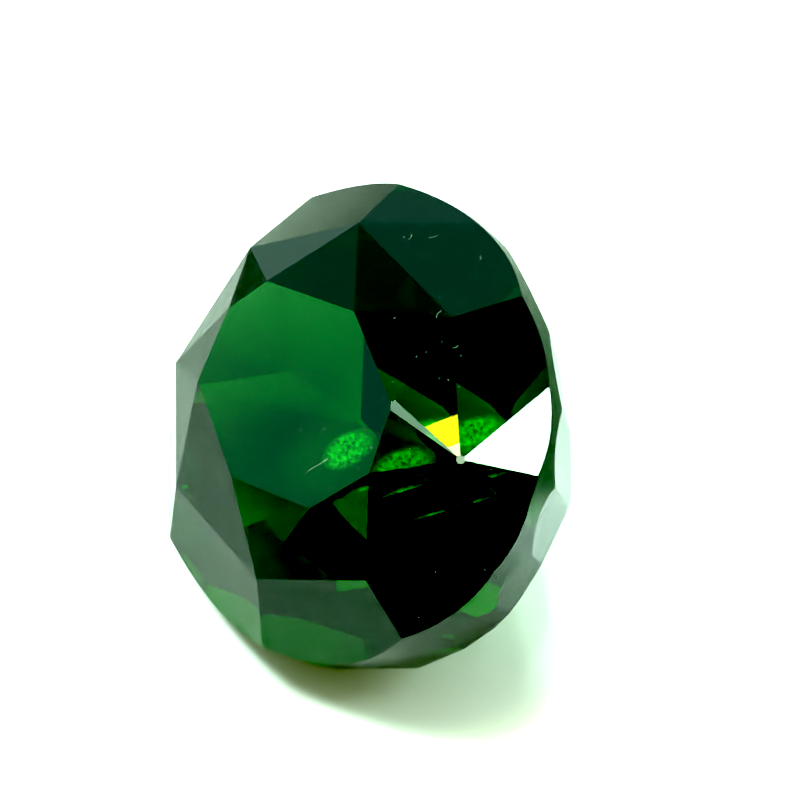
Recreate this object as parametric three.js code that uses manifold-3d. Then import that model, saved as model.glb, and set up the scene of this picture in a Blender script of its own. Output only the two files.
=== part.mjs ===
// A loose oval garnet, cut by hand on an old lap, lying on one facet of its underside.
// Units are millimetres and degrees, +Z is up. The stone is ground in its own cutting frame:
// +Z through the middle of the table, +X along the stone's length, Z = 0 at the top of the girdle.
// It is then tipped over its long side until the resting facet of the underside is flat on Z = 0.
import * as THREE from "three";
import { mergeVertices } from "three/addons/utils/BufferGeometryUtils.js";
import Module from "manifold-3d";

// Driving dimensions
const LENGTH = 7.48;
const WIDTH = 6.8;
const TABLE_HEIGHT = 1.42;
const CORNER_HEIGHT = 0.96;
const GIRDLE_END_THICKNESS = 0.34;
const GIRDLE_SIDE_THICKNESS = 0.14;
const BARREL_END_SLOPE = 83;
const BARREL_SIDE_SLOPE = 57;
const BARREL_DEPTH = 1.05;
const RESTING_SLOPE = 40;
const RESTING_AZIMUTH = 90;
const TURN_ON_TABLE = 113;

// The cutter's sheet of the crown: azimuth and distance from the middle.
// The table has eight corners, and eight more lie half way down to the girdle, one between each two.
const TABLE_CORNERS = [
  [-75, 1.54],
  [-134, 1.84],
  [-165, 1.97],
  [161, 1.77],
  [103, 1.48],
  [42, 1.83],
  [7, 1.98],
  [-15, 1.93],
];
const MIDDLE_CORNERS = [
  [-47, 2.75],
  [-101, 2.63],
  [-146, 2.96],
  [170, 2.98],
  [129, 2.63],
  [78, 2.59],
  [36, 2.76],
  [-6, 2.9],
];
// Where each of the eight broad lower crown facets comes nearest to the girdle.
const MAIN_AZIMUTHS = [-86, -111, -168, 148, 103, 57, 15, -25];
// Facets that take the ridge off below a middle corner: the corner, and the azimuths at which the
// facet begins and ends on the girdle.
const CROWN_BREAKS = [
  [0, -58, -80],
  [2, -119, -143],
  [2, -143, -149],
  [2, -149, -166],
  [6, 50, 24],
  [7, 6, -17],
];
// One small flat near the girdle, on the ridge that runs from a middle corner to an azimuth.
const NICK = { corner: 2, azimuth: -118, start: 0.76, from: -113, to: -125 };
// One ridge between two upper facets was touched by the lap: a narrow flat, widest at the table
// corner, that runs out at the middle corner.
const TOUCHED_RIDGE = { table: 1, corner: 2, width: 0.08 };

// Two places where the oval girdle was ground straighter: the azimuth and how far out it is left.
const GIRDLE_FLATS = [
  [15, 3.47],
  [50, 3.38],
];

const BARREL_FACETS = 20;
const BARREL_PHASE = 16;
const GIRDLE_STEPS = 240;
const ROUGH_ALLOWANCE = 0.4;

// The cutter's sheet of the underside. The point lies a little off the middle, on the resting facet.
const CULET = [0.09, -0.78];
// The other broad facets: azimuth, slope, and how far each stands out from the point.
const PAVILION_MAINS = [
  [10, 37, -0.14],
  [41.5, 30.5, 0.13],
  [137.5, 23, -0.03],
  [191, 40, -0.09],
  [239.5, 22.5, 0.05],
  [279.5, 46.5, 0.24],
  [292.5, 41.5, 0.02],
];
// The steeper facets between them: azimuth, slope, and distance from the middle at the shoulder.
const PAVILION_BREAKS = [
  [15, 55, 2.7],
  [67, 42, 2.66],
  [107, 51, 2.56],
  [164.5, 35.5, 3.31],
  [204, 39.5, 3.3],
  [255, 38.5, 2.58],
  [307, 37, 2.89],
  [339, 40, 2.86],
];

const radians = THREE.MathUtils.degToRad;
const tangent = (degrees) => Math.tan(radians(degrees));

const wasm = await Module();
wasm.setup();

// Distance from the middle to the girdle in one direction.
function girdleRadius(azimuth) {
  const along = Math.cos(radians(azimuth)) / (LENGTH / 2);
  const across = Math.sin(radians(azimuth)) / (WIDTH / 2);
  let radius = 1 / Math.hypot(along, across);
  for (const [flatAzimuth, reach] of GIRDLE_FLATS) {
    const share = Math.cos(radians(azimuth - flatAzimuth));
    if (share > 0) radius = Math.min(radius, reach / share);
  }
  return radius;
}

// Distance from the middle to the straight line that touches the oval, square to one direction.
function girdleReach(azimuth) {
  const along = Math.cos(radians(azimuth)) * (LENGTH / 2);
  const across = Math.sin(radians(azimuth)) * (WIDTH / 2);
  return Math.hypot(along, across);
}

function place(azimuth, radius, height) {
  const angle = radians(azimuth);
  return new THREE.Vector3(radius * Math.cos(angle), radius * Math.sin(angle), height);
}

function girdlePoint(azimuth) {
  return place(azimuth, girdleRadius(azimuth), 0);
}

// A facet through three places of the stone.
function facetThrough(a, b, c) {
  const plane = new THREE.Plane().setFromCoplanarPoints(a, b, c);
  return plane.constant > 0 ? plane.negate() : plane;
}

// The place one short distance from a place towards another.
function stepTowards(from, to, distance) {
  return new THREE.Vector3().lerpVectors(from, to, distance / from.distanceTo(to));
}

// A facet that faces outwards and down, at a slope from the girdle, through one place.
function facetBelow(azimuth, slope, point) {
  const normal = place(azimuth, Math.sin(radians(slope)), -Math.cos(radians(slope)));
  return new THREE.Plane().setFromNormalAndCoplanarPoint(normal, point);
}

function crownFacets() {
  const table = TABLE_CORNERS.map(([azimuth, radius]) => place(azimuth, radius, TABLE_HEIGHT));
  const middle = MIDDLE_CORNERS.map(([azimuth, radius]) => place(azimuth, radius, CORNER_HEIGHT));
  const count = middle.length;
  const facets = [facetThrough(table[0], table[2], table[5])];
  for (let i = 0; i < count; i++) {
    const next = (i + 1) % count;
    facets.push(facetThrough(table[i], table[next], middle[next]));
    facets.push(facetThrough(middle[i], middle[next], table[i]));
    facets.push(facetThrough(middle[i], middle[next], girdlePoint(MAIN_AZIMUTHS[i])));
  }
  for (const [corner, from, to] of CROWN_BREAKS) {
    facets.push(facetThrough(middle[corner], girdlePoint(from), girdlePoint(to)));
  }
  const ridgeFoot = girdlePoint(NICK.azimuth);
  const nickTop = new THREE.Vector3().lerpVectors(middle[NICK.corner], ridgeFoot, NICK.start);
  facets.push(facetThrough(nickTop, girdlePoint(NICK.from), girdlePoint(NICK.to)));
  const { table: at, corner, width } = TOUCHED_RIDGE;
  const alongTable = stepTowards(table[at], table[at + 1], width);
  const alongSide = stepTowards(table[at], middle[corner - 1], width);
  facets.push(facetThrough(middle[corner], alongTable, alongSide));
  return facets;
}

// A value that changes from the stone's long sides to its two ends.
function sideToEnd(side, end, azimuth) {
  return THREE.MathUtils.lerp(side, end, Math.abs(Math.cos(radians(azimuth))));
}

// The barrel is the steep row below the girdle, and it stands nearly upright at the ends.
function barrelSlope(azimuth) {
  return sideToEnd(BARREL_SIDE_SLOPE, BARREL_END_SLOPE, azimuth);
}

// How far out the stone reaches at the foot of the barrel.
function shoulderReach(azimuth) {
  return girdleReach(azimuth) - BARREL_DEPTH / tangent(barrelSlope(azimuth));
}

function barrelFacets() {
  const facets = [];
  for (let i = 0; i < BARREL_FACETS; i++) {
    const azimuth = (360 * i) / BARREL_FACETS + BARREL_PHASE;
    const thickness = sideToEnd(GIRDLE_SIDE_THICKNESS, GIRDLE_END_THICKNESS, azimuth);
    const top = place(azimuth, girdleReach(azimuth), -thickness);
    facets.push(facetBelow(azimuth, barrelSlope(azimuth), top));
  }
  return facets;
}

function pavilionFacets() {
  const shoulder = -GIRDLE_SIDE_THICKNESS - BARREL_DEPTH;
  const restingEdge = place(RESTING_AZIMUTH, shoulderReach(RESTING_AZIMUTH), shoulder);
  const resting = facetBelow(RESTING_AZIMUTH, RESTING_SLOPE, restingEdge);
  const [x, y] = CULET;
  const depth = (resting.normal.x * x + resting.normal.y * y + resting.constant) / resting.normal.z;
  const culet = new THREE.Vector3(x, y, -depth);
  const facets = [resting];
  for (const [azimuth, slope, standOut] of PAVILION_MAINS) {
    const facet = facetBelow(azimuth, slope, culet);
    facets.push(facet.translate(facet.normal.clone().multiplyScalar(standOut)));
  }
  for (const [azimuth, slope, reach] of PAVILION_BREAKS) {
    facets.push(facetBelow(azimuth, slope, place(azimuth, reach, shoulder)));
  }
  return facets;
}

// The rough is an oval cylinder, a little deeper than the finished stone.
function roughStone() {
  const top = TABLE_HEIGHT + ROUGH_ALLOWANCE;
  const bottom = -WIDTH / 2 - BARREL_DEPTH - ROUGH_ALLOWANCE;
  const shape = new THREE.CylinderGeometry(0.5, 0.5, top - bottom, GIRDLE_STEPS);
  shape.rotateX(Math.PI / 2);
  shape.scale(LENGTH, WIDTH, 1);
  shape.translate(0, 0, (top + bottom) / 2);
  shape.deleteAttribute("normal");
  shape.deleteAttribute("uv");
  const merged = mergeVertices(shape);
  return new wasm.Manifold(
    new wasm.Mesh({
      numProp: 3,
      vertProperties: merged.attributes.position.array,
      triVerts: new Uint32Array(merged.index.array),
    }),
  );
}

function girdleFlats() {
  return GIRDLE_FLATS.map(([azimuth, reach]) => new THREE.Plane(place(azimuth, 1, 0), -reach));
}

// Each facet is one flat, ground on the stone from the outside in.
function cutStone() {
  let stone = roughStone();
  const underside = [...barrelFacets(), ...pavilionFacets()];
  for (const facet of [...girdleFlats(), ...crownFacets(), ...underside]) {
    stone = stone.trimByPlane(facet.normal.clone().negate().toArray(), facet.constant);
  }
  const mesh = stone.getMesh();
  const shape = new THREE.BufferGeometry();
  shape.setAttribute("position", new THREE.BufferAttribute(mesh.vertProperties, 3));
  shape.setIndex(new THREE.BufferAttribute(mesh.triVerts, 1));
  return shape;
}

// Tips the stone onto its resting facet, turns it on the surface and stands it over the origin.
function layDown(shape) {
  const tip = new THREE.Matrix4().makeRotationX(radians(-RESTING_SLOPE));
  const turn = new THREE.Matrix4().makeRotationZ(radians(TURN_ON_TABLE));
  shape.applyMatrix4(turn.multiply(tip));
  shape.computeBoundingBox();
  const box = shape.boundingBox;
  const middle = box.getCenter(new THREE.Vector3());
  return shape.translate(-middle.x, -middle.y, -box.min.z);
}

const garnet = new THREE.Mesh(
  layDown(cutStone()).toNonIndexed(),
  new THREE.MeshStandardMaterial({ color: 0x0b3d1c, roughness: 0.05, metalness: 0 }),
);
garnet.name = "garnet";
garnet.geometry.computeVertexNormals();

const stone = new THREE.Group();
stone.add(garnet);
export default stone;
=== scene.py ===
# %% [markdown]
# # A loose green garnet on a white sheet
#
# This lesson builds the looks of one cut stone around its imported model. The stone is a single
# crystal of green garnet, about seven and a half millimetres long, cut by hand on an old lap. It
# lies tipped over on one broad facet of its underside, so the camera looks down into it through
# the table. Nearly all that is seen happens inside: the floor shows through the underside as a
# green window, the far facets act as mirrors, and two lamps flash in crown facets. So the shape,
# the glass and the places of the lamps have to be right. Only the sheet has painted light: a
# glowing painted pool of light under the stone, and painted shade far behind it.

# %% Start and frame
import math
import random

import bmesh
import bpy
from mathutils import Matrix, Vector


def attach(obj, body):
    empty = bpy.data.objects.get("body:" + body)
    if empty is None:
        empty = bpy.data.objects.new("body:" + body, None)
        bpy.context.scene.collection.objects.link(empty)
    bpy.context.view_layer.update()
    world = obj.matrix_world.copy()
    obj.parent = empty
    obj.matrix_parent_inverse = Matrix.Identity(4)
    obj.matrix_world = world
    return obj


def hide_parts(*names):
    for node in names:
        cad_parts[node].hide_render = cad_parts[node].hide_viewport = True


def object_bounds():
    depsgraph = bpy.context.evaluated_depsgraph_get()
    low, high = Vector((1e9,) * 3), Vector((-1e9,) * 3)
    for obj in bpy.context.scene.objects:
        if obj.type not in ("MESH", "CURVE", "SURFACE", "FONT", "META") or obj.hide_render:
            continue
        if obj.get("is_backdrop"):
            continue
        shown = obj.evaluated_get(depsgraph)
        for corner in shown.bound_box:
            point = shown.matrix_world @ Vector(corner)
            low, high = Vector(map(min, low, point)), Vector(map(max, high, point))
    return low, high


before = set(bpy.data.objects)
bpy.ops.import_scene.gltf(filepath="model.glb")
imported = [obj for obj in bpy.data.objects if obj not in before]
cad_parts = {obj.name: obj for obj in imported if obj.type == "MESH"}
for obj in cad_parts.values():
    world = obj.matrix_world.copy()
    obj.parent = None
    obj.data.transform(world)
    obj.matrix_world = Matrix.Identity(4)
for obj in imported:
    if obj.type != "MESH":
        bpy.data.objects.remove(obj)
low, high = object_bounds()
print("stone box, mm:", [round((b - a) * 1000, 3) for a, b in zip(low, high)])

# %% [markdown]
# ## Helpers
# Sizes in this lesson are given in millimetres and colours as the hex values of a colour chart.
# Blender works in metres and in linear light, so a factor and a small function turn the one into
# the other. A second function adds a node with its settings and links, because each material is a
# short list of nodes. A third starts an empty material.

# %% Helpers
MM = 0.001
MICRON = 0.001 * MM


def linear(hex_colour, alpha=1.0):
    """The linear light of a chart colour such as '#2f7a3a'."""
    parts = [int(hex_colour[i : i + 2], 16) / 255 for i in (1, 3, 5)]
    return [p / 12.92 if p <= 0.04045 else ((p + 0.055) / 1.055) ** 2.4 for p in parts] + [alpha]


def add(tree, kind, settings=None, links=None):
    """Adds one node. A settings key is an input's name or an attribute; a link is input: (node, output)."""
    node = tree.nodes.new(kind)
    for key, value in (settings or {}).items():
        if isinstance(key, str) and hasattr(node, key):
            setattr(node, key, value)
        else:
            node.inputs[key].default_value = value
    for key, (source, output) in (links or {}).items():
        tree.links.new(source.outputs[output], node.inputs[key])
    return node


def new_material(name):
    """An empty material and its node tree."""
    material = bpy.data.materials.new(name)
    material.use_nodes = True
    material.node_tree.nodes.clear()
    return material, material.node_tree


def new_object(name, mesh):
    """Puts a mesh into the scene as an object."""
    thing = bpy.data.objects.new(name, mesh)
    bpy.context.scene.collection.objects.link(thing)
    return thing


# %% [markdown]
# ## The stone's flat facets and its edges
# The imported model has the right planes, but it is stored as triangles with hard, perfect edges. A
# lap leaves each facet as one flat face, and the edge between two facets is never a line: handling
# wears it to a bright hair a few thousandths of a millimetre wide. So the triangles are first
# merged into whole facets, and every edge sharper than a few degrees then gets a very narrow
# chamfer. One corner of the table, on the right, took a knock: it is blunted before the edges are.

# %% The polished stone
EDGE_WEAR = 0.005 * MM
SAME_POINT = 0.0005 * MM
SAME_FACET = math.radians(0.2)
SHARP_EDGE = math.radians(4)
BRUISED_CORNER = Vector((1.35, -2.02, 4.46)) * MM
BRUISE = 0.07 * MM


def facet_mesh(source, name):
    """The model's mesh as whole facets with one blunted corner and worn edges."""
    work = bmesh.new()
    work.from_mesh(source.data)
    bmesh.ops.transform(work, matrix=source.matrix_world, verts=work.verts)
    bmesh.ops.remove_doubles(work, verts=work.verts, dist=SAME_POINT)
    bmesh.ops.dissolve_limit(
        work, angle_limit=SAME_FACET, verts=work.verts, edges=work.edges, use_dissolve_boundaries=False
    )
    corner = min(work.verts, key=lambda v: (v.co - BRUISED_CORNER).length)
    bmesh.ops.bevel(work, geom=[corner], offset=BRUISE, segments=1, affect="VERTICES")
    sharp = [e for e in work.edges if len(e.link_faces) == 2 and e.calc_face_angle() > SHARP_EDGE]
    bmesh.ops.bevel(
        work, geom=sharp, offset=EDGE_WEAR, offset_type="OFFSET", segments=1, affect="EDGES",
        clamp_overlap=True,
    )
    mesh = bpy.data.meshes.new(name)
    work.to_mesh(mesh)
    work.free()
    return mesh


stone = new_object("polished_garnet", facet_mesh(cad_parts["garnet"], "polished_garnet"))
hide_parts("garnet")
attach(stone, "root")
print("polished stone:", len(stone.data.polygons), "faces")

# %% [markdown]
# ## Which side is the underside
# The crown was polished with care and the underside less so: seen through the table its edges and
# flashes are soft, and the crown's are crisp. The stone leans, so up and down don't tell the two
# sides apart. The stone's own axis does: it is square to the table, which is the largest flat that
# faces up, to the left and to the front. Each face that looks away from that axis is marked as
# underside.
#
# The axis also finds the girdle, whose faces stand square to it. Only they are shaded smooth. The
# facets have to stay truly flat, because a lamp is seen in a facet only from one exact direction.

# %% Mark the underside and smooth the girdle
LOOKS_AWAY = -0.1
ON_GIRDLE = 0.02

faces = stone.data.polygons
table_face = max(
    (f for f in faces if f.normal.z > 0.5 and f.normal.y < 0 and f.normal.x < 0), key=lambda f: f.area
)
axis = table_face.normal.copy()
underside = stone.data.attributes.new("underside", "FLOAT", "FACE")
for face in faces:
    underside.data[face.index].value = 1.0 if face.normal.dot(axis) < LOOKS_AWAY else 0.0
    face.use_smooth = abs(face.normal.dot(axis)) < ON_GIRDLE
print("axis", [round(c, 3) for c in axis], "table, mm2:", round(table_face.area / MM**2, 2))
print("underside faces:", sum(1 for u in underside.data if u.value > 0))

# %% [markdown]
# ## The bruise
# Where the corner took its knock the stone is crushed to white powder. The faces made by blunting
# it are small and lie close together, so size and distance find them, and a mark on them tells the
# material where the powder is.

# %% Mark the bruise
BRUISE_REACH = 1.2 * BRUISE
LARGEST_CRUSHED_FACE = 3 * BRUISE**2

bruise = stone.data.attributes.new("bruise", "FLOAT", "FACE")
for face in faces:
    near = (face.center - BRUISED_CORNER).length < BRUISE_REACH
    bruise.data[face.index].value = 1.0 if near and face.area < LARGEST_CRUSHED_FACE else 0.0
print("bruised faces:", sum(1 for b in bruise.data if b.value > 0))

# %% [markdown]
# ## Green garnet
# Garnet is clear all through and gets its green from traces of chromium or vanadium, so the colour
# belongs in the volume and the surface stays colourless. The index of refraction of green garnet
# is near 1.74, well above glass, which is why the far facets mirror so strongly. The crown's
# polish is nearly perfect. The underside is a little rougher, which softens the flashes. Only the
# bruised corner is crushed: it is rough, and a third of it is white powder that lets no light
# through. All over, a trace of skin grease and fine dust lifts the darkest greens a little.

# %% Green garnet, lapped and polished
GARNET_INDEX = 1.74
CROWN_ROUGHNESS = 0.003
UNDERSIDE_ROUGHNESS = 0.035
CRUSHED_ROUGHNESS = 0.45
FILM_SHARE = 0.003
POWDER_SHARE = 0.32

garnet, tree = new_material("Green garnet, lapped and polished")
side = add(tree, "ShaderNodeAttribute", {"attribute_name": "underside"})
crushed = add(tree, "ShaderNodeAttribute", {"attribute_name": "bruise"})
polish_by_side = add(
    tree,
    "ShaderNodeMapRange",
    {"To Min": CROWN_ROUGHNESS, "To Max": UNDERSIDE_ROUGHNESS},
    {"Value": (side, "Fac")},
)
polish = add(
    tree,
    "ShaderNodeMath",
    {"operation": "MULTIPLY_ADD", 1: CRUSHED_ROUGHNESS},
    {0: (crushed, "Fac"), 2: (polish_by_side, "Result")},
)
clear = add(
    tree,
    "ShaderNodeMapRange",
    {"To Min": 1 - FILM_SHARE, "To Max": 1 - POWDER_SHARE},
    {"Value": (crushed, "Fac")},
)
surface = add(
    tree,
    "ShaderNodeBsdfPrincipled",
    {"Base Color": (1, 1, 1, 1), "IOR": GARNET_INDEX},
    {"Roughness": (polish, "Value"), "Transmission Weight": (clear, "Result")},
)
stone.data.materials.append(garnet)
print("garnet mirrors", round(((GARNET_INDEX - 1) / (GARNET_INDEX + 1)) ** 2, 3), "of light square on")

# %% [markdown]
# ## The green inside
# On every millimetre the light loses most of its red and blue, and some green. The loss is given
# per millimetre, for red, green and blue. Blender's absorption takes a density and a colour
# instead, where the loss per metre is the density times what the colour lacks. The density is only
# a scale, a little above the largest loss, so that all three parts of the colour stay above zero.
# The losses weren't measured: they were chosen until the window was as green as the photograph's.

# %% Body colour
LOSS_PER_MM = (1.35, 0.51, 1.3)
ABSORPTION_DENSITY = 1400.0

body = add(
    tree,
    "ShaderNodeVolumeAbsorption",
    {
        "Color": [1 - loss * 1000 / ABSORPTION_DENSITY for loss in LOSS_PER_MM] + [1],
        "Density": ABSORPTION_DENSITY,
    },
)
add(tree, "ShaderNodeOutputMaterial", links={"Surface": (surface, "BSDF"), "Volume": (body, "Volume")})
print("light left after 4 mm:", [round(math.exp(-4 * loss), 4) for loss in LOSS_PER_MM])

# %% [markdown]
# ## Places for the dust
# A stone that was taken out of a bag carries specks of house dust, a few hundredths of a
# millimetre across, and short threads. At this close range each speck is one or two pixels, so it
# can be a real grain: a small squashed ball, half sunk in the facet. They fell where they liked,
# so they are strewn over the crown by chance, always the same way. A triangle of the crown is
# drawn by its area, and then a place in it, so no part of the crown gets more than its share.

# %% Places and grains
chance = random.Random(7)
stone.data.calc_loop_triangles()
crown_triangles = [t for t in stone.data.loop_triangles if t.normal.dot(axis) > 0.2]
crown_weights = [t.area for t in crown_triangles]
print("crown, mm2:", round(sum(crown_weights) / MM**2, 1))


def on_facet(point):
    """The nearest place on the stone, and two directions in its facet with the facet's normal."""
    _, place, normal, _ = stone.closest_point_on_mesh(point)
    side_way = normal.cross(Vector((0, 0, 1))).normalized()
    return place, side_way, normal.cross(side_way), normal


def chance_place():
    """A random place on the crown, with its directions."""
    triangle = chance.choices(crown_triangles, crown_weights)[0]
    a, b, c = (stone.data.vertices[i].co for i in triangle.vertices)
    first, second = sorted((chance.random(), chance.random()))
    return on_facet(a * first + b * (second - first) + c * (1 - second))


def grain(work, place, long_way, cross_way, normal, length, width, height):
    """A squashed ball, half sunk in the facet. It takes three directions and a size along each."""
    made = bmesh.ops.create_icosphere(work, subdivisions=1, radius=0.5)
    shape = Matrix((long_way * length, cross_way * width, normal * height)).transposed()
    for vert in made["verts"]:
        rough = 1 + chance.uniform(-0.18, 0.18)
        vert.co = place + shape @ (vert.co * rough)


# %% [markdown]
# ## Specks and threads
# A speck is one grain, up to twice as long as it is wide. A thread is five grains in a row along a
# slight bend, thin enough to read as a hair.

# %% Specks and threads
SPECKS = 130
SPECK_MICRONS = (12, 23)
SPECK_STRETCH = (1.0, 1.9)
SPECK_HEIGHT = 0.6
THREADS = 14
THREAD_MICRONS = (70, 150)
THREAD_WIDTH = 12 * MICRON
THREAD_BEND = 0.03


def add_speck(work):
    place, side_way, up_way, normal = chance_place()
    turn = Matrix.Rotation(chance.uniform(0, math.pi), 3, normal)
    width = chance.uniform(*SPECK_MICRONS) * MICRON
    stretch = chance.uniform(*SPECK_STRETCH)
    height = width * SPECK_HEIGHT
    grain(work, place, turn @ side_way, turn @ up_way, normal, width * stretch, width, height)


def add_thread(work):
    place, side_way, up_way, normal = chance_place()
    length = chance.uniform(*THREAD_MICRONS) * MICRON
    turn = Matrix.Rotation(chance.uniform(0, math.pi), 3, normal)
    along, across = turn @ side_way, turn @ up_way
    for step in range(-2, 3):
        bend = across * (step * step - 2) * length * THREAD_BEND
        spot = place + along * step * length / 5 + bend
        grain(work, spot, along, across, normal, length * 0.3, THREAD_WIDTH, THREAD_WIDTH)


work = bmesh.new()
for _ in range(SPECKS):
    add_speck(work)
for _ in range(THREADS):
    add_thread(work)
print("dust:", SPECKS, "specks and", THREADS, "threads,", len(work.faces), "faces")

# %% [markdown]
# ## Scratches
# The scratches are short hairs of crushed stone laid on their facets: one on the big left facet,
# three near the lower girdle. Each is a row of thin grains, uneven in length and width, so that it
# looks torn and not drawn with a ruler.

# %% Scratches
GRAINS_IN_SCRATCH = 14
SCRATCH_HEIGHT = 3 * MICRON
# Where each scratch begins and ends in mm, and how wide it is in microns.
SCRATCHES = [
    ((-0.82, -1.54, 3.55), (-0.53, -1.50, 3.78), 26),
    ((-1.46, -2.62, 1.69), (-1.13, -2.90, 1.51), 7),
    ((-1.36, -2.69, 1.67), (-1.17, -2.83, 1.62), 5),
    ((-1.49, -2.66, 1.48), (-1.31, -2.84, 1.33), 6),
]


def add_scratch(work, start, end, width):
    along = (end - start).normalized()
    for step in range(GRAINS_IN_SCRATCH):
        place, _, _, normal = on_facet(start.lerp(end, (step + 0.5) / GRAINS_IN_SCRATCH))
        across = normal.cross(along)
        wide = width * chance.uniform(0.3, 1.0) * MICRON
        long = (end - start).length / GRAINS_IN_SCRATCH * chance.uniform(0.7, 1.3)
        grain(work, place, along, across, normal, long, wide, SCRATCH_HEIGHT)


for start, end, width in SCRATCHES:
    add_scratch(work, Vector(start) * MM, Vector(end) * MM, width)
dust_mesh = bpy.data.meshes.new("dust_and_scratches")
work.to_mesh(dust_mesh)
work.free()
dust = new_object("dust_and_scratches", dust_mesh)
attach(dust, "root")
print("dust and scratches:", len(dust_mesh.polygons), "faces")

# %% [markdown]
# ## House dust and crushed stone
# Both are fine grey powder with a breath of green from the stone around them. Powder has no shine
# at all, so it is a rough, plain surface.

# %% House dust and crushed stone
POWDER_ROUGHNESS = 0.9

powder, tree = new_material("House dust and crushed stone")
speck = add(
    tree, "ShaderNodeBsdfPrincipled", {"Base Color": linear("#8d9a90"), "Roughness": POWDER_ROUGHNESS}
)
add(tree, "ShaderNodeOutputMaterial", links={"Surface": (speck, "BSDF")})
dust.data.materials.append(powder)
print("dust colour, linear:", [round(c, 2) for c in linear("#8d9a90")[:3]])

# %% [markdown]
# ## The painted pool of light under the stone
# A cut stone gathers lamp light like a lens, in one small bright pool on the sheet under it. Traced
# back through this stone, four sparkles of the photograph lead to about the same place of the
# sheet, so the pool is put there. The underside of the stone is a guess, so this is one too, and
# the stone also shows the pool in a few places where the photograph has no sparkle. Light that is
# gathered through glass takes very long to work out, so the pool is painted light: the card glows
# by itself there.
#
# The pool is an oval with a soft rim, set by its length, width and turn. The gathered light is
# broken into fine grains, about a tenth of a millimetre apart, which a noise pattern gives.

# %% The painted pool of light
POOL_MIDDLE = Vector((1.15, 0.74, 0)) * MM
POOL_LENGTH = 1.1 * MM
POOL_WIDTH = 0.6 * MM
POOL_TURN = math.radians(25)
POOL_RADIANCE = 4.5
POOL_RIM_RADIANCE = 0.35
# How far out the pool is full, and how far its soft rim reaches, as shares of its half width.
POOL_FULL = 0.6
POOL_RIM_REACH = 3.2
GRAINS_PER_MM = 11
DARK_GRAIN = 0.38
BRIGHT_GRAIN = 0.62

card, tree = new_material("White card with painted light pool and painted shade")
place = add(tree, "ShaderNodeTexCoord")
in_pool = add(
    tree,
    "ShaderNodeMapping",
    {
        "vector_type": "TEXTURE",
        "Location": POOL_MIDDLE,
        "Rotation": (0, 0, POOL_TURN),
        "Scale": (POOL_LENGTH / 2, POOL_WIDTH / 2, MM),
    },
    {"Vector": (place, "Object")},
)
from_pool = add(tree, "ShaderNodeVectorMath", {"operation": "LENGTH"}, {0: (in_pool, "Vector")})
pool = add(
    tree,
    "ShaderNodeMapRange",
    {"From Min": 1.0, "From Max": POOL_FULL, "To Max": POOL_RADIANCE},
    {"Value": (from_pool, "Value")},
)
pool_rim = add(
    tree,
    "ShaderNodeMapRange",
    {
        "interpolation_type": "SMOOTHSTEP",
        "From Min": POOL_RIM_REACH,
        "From Max": 1.0,
        "To Max": POOL_RIM_RADIANCE,
    },
    {"Value": (from_pool, "Value")},
)
pool_grain = add(
    tree,
    "ShaderNodeTexNoise",
    {"Scale": GRAINS_PER_MM / MM, "Detail": 4.0, "Roughness": 0.8},
    {"Vector": (place, "Object")},
)
broken_pool = add(
    tree,
    "ShaderNodeMapRange",
    {"From Min": DARK_GRAIN, "From Max": BRIGHT_GRAIN},
    {"Value": (pool_grain, "Fac"), "To Max": (pool, "Result")},
)
painted_light_pool = add(
    tree,
    "ShaderNodeMath",
    {"operation": "ADD"},
    {0: (broken_pool, "Result"), 1: (pool_rim, "Result")},
)
print("pool, mm:", round(POOL_LENGTH / MM, 2), "by", round(POOL_WIDTH / MM, 2))

# %% [markdown]
# ## The sheet it lies on
# A plain sheet of white card. It matters more than a background does: the green window in the table
# is this sheet, seen down through the stone, and the pale veil on the left facets is its mirror
# image. It is a round sheet that ends well outside the picture. Far behind the stone its colour is
# painted darker, a painted shade that stands in for light falling off there, as the facets that
# mirror that part of it show. It lies a hair below the stone, because two flat faces in the same
# place would flicker.

# %% White card
SHEET_RADIUS = 60 * MM
HAIR = 0.01 * MM
DIM_FROM = 14 * MM
DIM_TO = 17 * MM
DIM_SHARE = 0.66
LIGHT_TINT = (0.76, 1.0, 0.89)

bpy.ops.mesh.primitive_circle_add(
    vertices=96, radius=SHEET_RADIUS, fill_type="NGON", location=(0, 0, low.z - HAIR)
)
sheet = bpy.context.object
sheet.name = "white_card_with_painted_light"
place_parts = add(tree, "ShaderNodeSeparateXYZ", links={"Vector": (place, "Object")})
# Painted shade: the card's colour turns darker far behind the stone, standing in for light that falls off
# there.
painted_dimming = add(
    tree,
    "ShaderNodeMapRange",
    {"From Min": DIM_FROM, "From Max": DIM_TO, "To Min": 1.0, "To Max": DIM_SHARE},
    {"Value": (place_parts, "Y")},
)
painted_dim_colour = add(
    tree,
    "ShaderNodeVectorMath",
    {"operation": "SCALE", 0: linear("#f4f4f4")[:3]},
    {"Scale": (painted_dimming, "Result")},
)
# Painted light: the card glows with the painted pool of light, and its base colour carries the painted
# shade far behind the stone.
paper = add(
    tree,
    "ShaderNodeBsdfPrincipled",
    {"Roughness": 0.8, "Emission Color": (*LIGHT_TINT, 1)},
    {"Base Color": (painted_dim_colour, "Vector"), "Emission Strength": (painted_light_pool, "Value")},
)
add(tree, "ShaderNodeOutputMaterial", links={"Surface": (paper, "BSDF")})
sheet.data.materials.append(card)
sheet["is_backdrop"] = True
print("card:", round(2 * SHEET_RADIUS / MM), "mm across")

# %% [markdown]
# ## How the lamps hang
# A cut stone shows its lamps one by one, so each is placed by the direction in which a facet
# mirrors the camera's sight line. A direction is an azimuth and a height above the sheet. A softbox
# is a round lamp that the stone can mirror, and its power follows from its size and from how bright
# it should look. A spot lights one patch of the sheet and can't be seen in the stone.

# %% Lamp helpers
STONE_MIDDLE = Vector((0, 0, 2.5 * MM))


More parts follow.
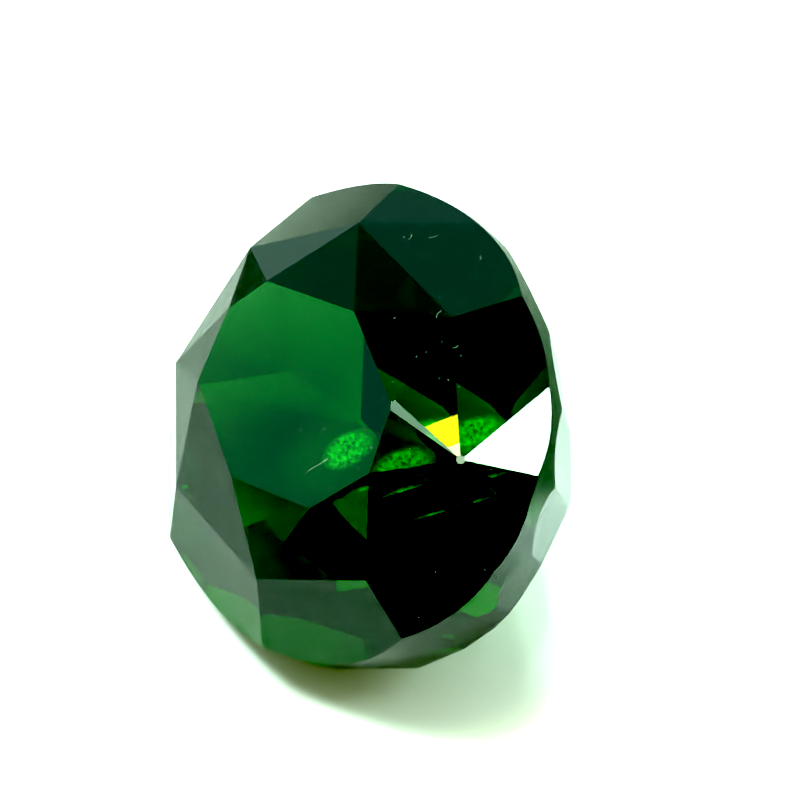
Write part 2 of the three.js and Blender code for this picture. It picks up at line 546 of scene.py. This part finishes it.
def direction(azimuth, elevation):
    """A direction by its azimuth from +X towards +Y and its height above the sheet, in degrees."""
    a, e = math.radians(azimuth), math.radians(elevation)
    return Vector((math.cos(a) * math.cos(e), math.sin(a) * math.cos(e), math.sin(e)))


def hang(name, data, target, azimuth, elevation, distance):
    """Hangs a lamp over a target and aims it there. The distance is in mm."""
    box = new_object(name, data)
    way = direction(azimuth, elevation)
    box.location = target + way * distance * MM
    box.rotation_euler = way.to_track_quat("Z", "Y").to_euler()
    box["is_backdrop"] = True
    return box


def softbox(name, azimuth, elevation, size, radiance, colour=LIGHT_TINT, distance=400):
    """A round softbox aimed at the stone. Sizes are in mm."""
    data = bpy.data.lights.new(name, "AREA")
    data.shape = "DISK"
    data.size = size * MM
    data.energy = radiance * math.pi**2 * (size * MM / 2) ** 2
    data.color = colour
    return hang(name, data, STONE_MIDDLE, azimuth, elevation, distance)


def sheet_spot(name, middle, radius, azimuth, elevation, watts, softness, distance=60):
    """A spot that lights one round patch of the sheet. Places and sizes are in mm."""
    data = bpy.data.lights.new(name, "SPOT")
    data.energy = watts
    data.color = LIGHT_TINT
    data.spot_size = 2 * math.atan2(radius, distance)
    data.spot_blend = 1.0
    data.shadow_soft_size = softness * MM
    spot = hang(name, data, Vector((*middle, 0)) * MM, azimuth, elevation, distance)
    spot.visible_glossy = False
    spot.visible_transmission = False
    return spot


# %% [markdown]
# ## The lamps
# The lamp on the right flashes white in the facet at the right edge. Two softboxes on the left and
# behind, and a dim one in front, light the sheet too, and four green patches inside the stone would
# be much darker without them. A warm lamp almost overhead has a yellow rim around a white core: it
# is mirrored in one crown facet as a small triangle, part yellow and part white.
#
# The sheet needs its own light. The facets that mirror it show how bright it is on each side: as
# bright as the cloth behind the stone, a little brighter on the left and more than three times as
# bright on the right. Two spots do that, and the left one also casts the stone's soft shadow.

# %% Lamps
WARM_LAMP = {"azimuth": 180.2, "elevation": 79.7}
WARM_YELLOW = (1.0, 0.85, 0.05)

softbox("softbox_left", azimuth=166, elevation=65.5, size=70, radiance=14)
softbox("softbox_back", azimuth=74, elevation=63, size=70, radiance=14)
softbox("softbox_front", azimuth=-168.5, elevation=67.7, size=40, radiance=2.2)
softbox("warm_rim", **WARM_LAMP, size=60, radiance=6.5, colour=WARM_YELLOW)
softbox("warm_core", **WARM_LAMP, size=55.2, radiance=5, distance=398)
softbox("lamp_right", azimuth=-11.5, elevation=51.5, size=90, radiance=9)
sheet_spot("spot_left", (-7.5, -3), 11, azimuth=168, elevation=67, watts=0.165, softness=12)
sheet_spot("spot_right", (9.1, -1.2), 6, azimuth=0, elevation=90, watts=0.35, softness=2)

# %% [markdown]
# ## The light tent
# Small stones are photographed in a tent of white cloth, which lights them from all sides. The
# cloth is what the crown facets mirror as a pale veil, and the veil is strongest where the camera
# looks at a facet at a low angle. In the photograph every veil has the same grey-green cast, so the
# cast belongs to the light, and the sheet only looks white because it is overexposed. The cloth is
# a little brighter low down than overhead, and most of all where a window stands behind it.

# %% The cloth and the window behind it
CLOTH_OVERHEAD = 0.87
CLOTH_LOW = 1.0
LOW_CLOTH_ENDS = math.radians(30)
OVERHEAD_STARTS = math.radians(50)
WINDOW = direction(166, 21)
WINDOW_GAIN = 0.18
WINDOW_EDGE = math.radians(26)
WINDOW_CORE = math.radians(12)

world = bpy.data.worlds.new("light_tent")
bpy.context.scene.world = world
world.use_nodes = True
tree = world.node_tree
tree.nodes.clear()
way = add(tree, "ShaderNodeTexCoord")
way_parts = add(tree, "ShaderNodeSeparateXYZ", links={"Vector": (way, "Generated")})
back_cloth = add(
    tree,
    "ShaderNodeMapRange",
    {
        "interpolation_type": "SMOOTHSTEP",
        "From Min": math.sin(LOW_CLOTH_ENDS),
        "From Max": math.sin(OVERHEAD_STARTS),
        "To Min": CLOTH_LOW,
        "To Max": CLOTH_OVERHEAD,
    },
    {"Value": (way_parts, "Z")},
)
to_window = add(
    tree, "ShaderNodeVectorMath", {"operation": "DOT_PRODUCT", 1: WINDOW}, {0: (way, "Generated")}
)
window_glow = add(
    tree,
    "ShaderNodeMapRange",
    {
        "interpolation_type": "SMOOTHSTEP",
        "From Min": math.cos(WINDOW_EDGE),
        "From Max": math.cos(WINDOW_CORE),
        "To Max": WINDOW_GAIN,
    },
    {"Value": (to_window, "Value")},
)
lit_cloth = add(
    tree,
    "ShaderNodeMath",
    {"operation": "ADD"},
    {0: (back_cloth, "Result"), 1: (window_glow, "Result")},
)
print("cloth: low", CLOTH_LOW, "overhead", CLOTH_OVERHEAD, "window", CLOTH_LOW + WINDOW_GAIN)

# %% [markdown]
# ## The open front and the lens
# The front of the tent is open for the camera: it is dimmer and yellow, and it colours the shadow.
# Round the lens it is nearly black. No facet faces the camera closely enough to mirror the middle
# of that dark hole, but three in the lower right lean about fifteen degrees from it and mirror its
# soft edge. So the camera's direction is needed here already.

# %% The open front and the lens
CAMERA_AZIMUTH = math.radians(-0.26)
CAMERA_ELEVATION = math.radians(53.23)
FRONT = 0.34
FRONT_COLOUR = (1.0, 0.98, 0.5, 1)
# The share of a direction that points to the back, where the cloth ends and where the front is open.
CLOTH_ENDS = 0.15
FRONT_OPEN = -0.55
LENS_HOLE = 0.05
HOLE_EDGE = math.radians(32)
HOLE_CORE = math.radians(22)

forward = Vector(
    (
        -math.sin(CAMERA_AZIMUTH) * math.cos(CAMERA_ELEVATION),
        math.cos(CAMERA_AZIMUTH) * math.cos(CAMERA_ELEVATION),
        -math.sin(CAMERA_ELEVATION),
    )
)
to_front = add(
    tree,
    "ShaderNodeMapRange",
    {"interpolation_type": "SMOOTHSTEP", "From Min": CLOTH_ENDS, "From Max": FRONT_OPEN},
    {"Value": (way_parts, "Y")},
)
strength = add(
    tree,
    "ShaderNodeMapRange",
    {"To Max": FRONT},
    {"Value": (to_front, "Result"), "To Min": (lit_cloth, "Value")},
)
colour = add(
    tree,
    "ShaderNodeMix",
    {"data_type": "RGBA", 6: (*LIGHT_TINT, 1), 7: FRONT_COLOUR},
    {0: (to_front, "Result")},
)
to_camera = add(
    tree, "ShaderNodeVectorMath", {"operation": "DOT_PRODUCT", 1: -forward}, {0: (way, "Generated")}
)
tent = add(
    tree,
    "ShaderNodeMapRange",
    {
        "interpolation_type": "SMOOTHSTEP",
        "From Min": math.cos(HOLE_EDGE),
        "From Max": math.cos(HOLE_CORE),
        "To Max": LENS_HOLE,
    },
    {"Value": (to_camera, "Value"), "To Min": (strength, "Result")},
)
light = add(
    tree, "ShaderNodeBackground", links={"Color": (colour, "Result"), "Strength": (tent, "Result")}
)
add(tree, "ShaderNodeOutputWorld", links={"Surface": (light, "Background")})
print("tent: front", FRONT, "lens hole", LENS_HOLE)

# %% [markdown]
# ## The camera
# The photograph was taken close up with a long lens, from the stone's long side, a little over
# fifty degrees above the sheet. The numbers were fitted to sixteen facet corners. The camera aims
# beside the stone, because the stone lies left of the picture's middle and a little low.

# %% Camera
CAMERA_DISTANCE = 88 * MM
FOCAL_LENGTH = 268.8
AIM_HEIGHT = 2.6 * MM
AIM_RIGHT = 0.577 * MM
AIM_UP = 0.270 * MM

right = Vector((math.cos(CAMERA_AZIMUTH), math.sin(CAMERA_AZIMUTH), 0))
up = right.cross(forward)
aim = Vector((0, 0, AIM_HEIGHT)) + right * AIM_RIGHT + up * AIM_UP
camera = new_object("camera", bpy.data.cameras.new("camera"))
camera.matrix_world = Matrix.Translation(aim - forward * CAMERA_DISTANCE) @ Matrix(
    (right, up, -forward)
).transposed().to_4x4()
camera.data.lens = FOCAL_LENGTH
camera.data.clip_start = 1 * MM
bpy.context.scene.camera = camera
print("camera, mm:", [round(c / MM, 1) for c in camera.matrix_world.translation])

# %% [markdown]
# ## Tone
# The photograph has deep blacks and a burnt-out sheet. A levels setting gives it the same: what is
# darker than the black level turns black, and what is brighter than the white level turns white.

# %% Tone
BLACK_LEVEL = 0.075
WHITE_LEVEL = 0.5
TONE_GAMMA = 0.85

scene = bpy.context.scene
scene.view_settings.view_transform = "Standard"
scene.view_settings.look = "None"
scene.view_settings.use_curve_mapping = True
levels = scene.view_settings.curve_mapping
levels.black_level = (BLACK_LEVEL,) * 3
levels.white_level = (WHITE_LEVEL,) * 3
levels.update()
scene.view_settings.gamma = TONE_GAMMA
print("levels:", BLACK_LEVEL, "to", WHITE_LEVEL)

# %% [markdown]
# ## Light paths
# A sight line is mirrored several times inside the stone before it leaves, so paths through clear
# matter are long. The card around the stone gets part of its light through the stone, so light
# bent by the glass is kept as well. The denoiser sees the picture alone: its helper pictures are
# grainy behind clear stone, and would bring their grain with them.

# %% Light paths
scene.cycles.max_bounces = 20
scene.cycles.transmission_bounces = 20
scene.cycles.glossy_bounces = 10
scene.cycles.diffuse_bounces = 3
scene.cycles.caustics_reflective = True
scene.cycles.caustics_refractive = True
scene.cycles.blur_glossy = 0.0
scene.cycles.sample_clamp_indirect = 12.0
scene.cycles.use_denoising = True
scene.cycles.denoising_input_passes = "RGB"
print("a sight line may turn", scene.cycles.max_bounces, "times")

# %% Finish
low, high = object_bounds()
print("finished box, mm:", [round((b - a) * 1000, 3) for a, b in zip(low, high)])
